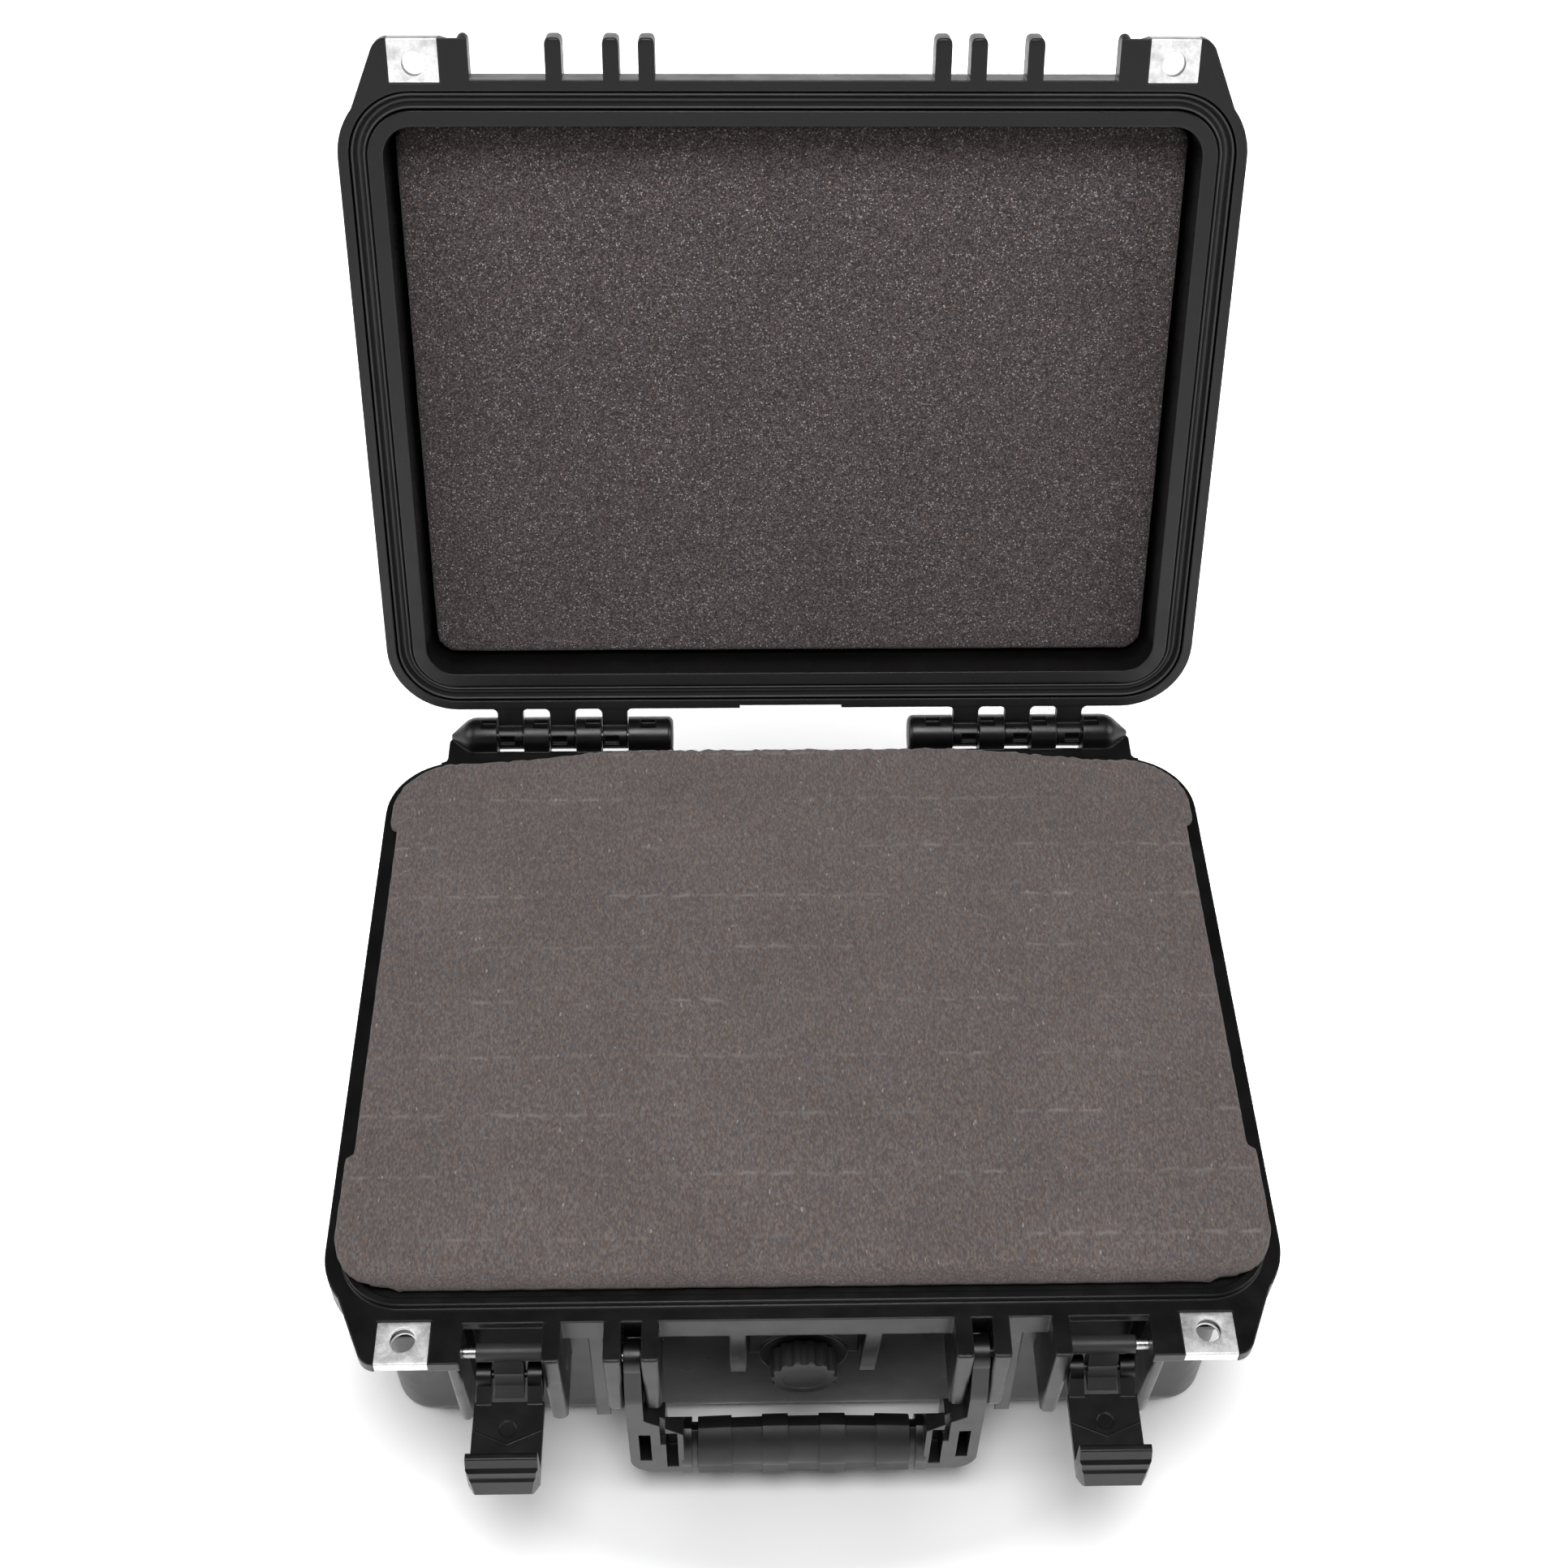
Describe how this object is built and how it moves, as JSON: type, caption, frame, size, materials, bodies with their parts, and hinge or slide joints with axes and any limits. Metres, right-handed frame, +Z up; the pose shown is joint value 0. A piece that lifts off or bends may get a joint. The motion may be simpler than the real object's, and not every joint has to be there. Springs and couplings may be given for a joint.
{
  "type": "hard protective carry case",
  "caption": "Open hard protective carry case for a medical hand instrument, foam in both halves, over-centre latches, drop handle, steel padlock eyes and pressure valve",
  "frame": {"origin": "On the ground, under the centre of the base's rim.", "axes": "+X to the right of someone who stands at the handle and faces the hinge, +Y from the handle towards the hinge and the open lid, +Z up."},
  "size_m": [0.339, 0.4459, 0.381],
  "materials": {
    "case_plastic": "fine moulded texture",
    "latch_plastic": "smooth moulded satin",
    "grip_rubber": "soft matte overmould",
    "valve_plastic": "satin",
    "valve_membrane": "porous disc",
    "seal_rubber": "smooth rubber",
    "pin_steel": "turned stainless steel",
    "clip_steel": "bent stainless sheet",
    "base_foam": "open-cell cubed foam",
    "lid_foam": "open-cell foam"
  },
  "bodies": {
    "case_base": {"base_shell": "case_plastic", "hinge_pin_right": "pin_steel", "hinge_pin_left": "pin_steel", "base_padlock_clip_right": "clip_steel", "base_padlock_clip_left": "clip_steel", "latch_pin_right": "pin_steel", "latch_pin_left": "pin_steel", "handle_pin_right": "pin_steel", "handle_pin_left": "pin_steel", "valve_body": "valve_plastic", "valve_seal_ring": "seal_rubber", "valve_nut": "valve_plastic", "valve_membrane": "valve_membrane", "base_foam_pad": "lid_foam", "base_foam_lower": "base_foam", "base_foam_top": "base_foam"},
    "lid": {"lid_shell": "case_plastic", "lid_gasket": "seal_rubber", "lid_padlock_clip_right": "clip_steel", "lid_padlock_clip_left": "clip_steel", "lid_foam": "lid_foam"},
    "link_right": {"latch_link_right": "latch_plastic", "latch_link_pin_right": "latch_plastic"},
    "link_left": {"latch_link_left": "latch_plastic", "latch_link_pin_left": "latch_plastic"},
    "lever_right": {"latch_lever_right": "latch_plastic"},
    "lever_left": {"latch_lever_left": "latch_plastic"},
    "handle": {"handle_frame": "latch_plastic", "handle_grip": "grip_rubber"},
    "knob": {"valve_knob": "valve_plastic"}
  },
  "joints": [
    {"name": "lid_hinge", "type": "hinge", "parent": "case_base", "child": "lid", "pos_m": [0, 0.1437, 0.1073], "axis": [-1, 0, 0], "range_deg": [-108.65, 0], "deforming": ["base_foam_top"]},
    {"name": "latch_link_right_swing", "type": "hinge", "parent": "case_base", "child": "link_right", "pos_m": [0.1029, -0.1363, 0.0975], "axis": [-1, 0, 0], "range_deg": [-8.7, 60]},
    {"name": "latch_lever_right_swing", "type": "hinge", "parent": "link_right", "child": "lever_right", "pos_m": [0.1036, -0.13888, 0.08537], "axis": [1, 0, 0], "range_deg": [-98.7, 80]},
    {"name": "latch_link_left_swing", "type": "hinge", "parent": "case_base", "child": "link_left", "pos_m": [-0.1029, -0.1363, 0.0975], "axis": [-1, 0, 0], "range_deg": [-8.7, 60]},
    {"name": "latch_lever_left_swing", "type": "hinge", "parent": "link_left", "child": "lever_left", "pos_m": [-0.1036, -0.13888, 0.08537], "axis": [1, 0, 0], "range_deg": [-98.7, 80]},
    {"name": "handle_swing", "type": "hinge", "parent": "case_base", "child": "handle", "pos_m": [0, -0.1363, 0.093], "axis": [-1, 0, 0], "range_deg": [0, 100]},
    {"name": "valve_knob_turn", "type": "hinge", "parent": "case_base", "child": "knob", "pos_m": [0, -0.1177, 0.055], "axis": [0, -1, 0], "range_deg": [0, 180]}
  ]
}
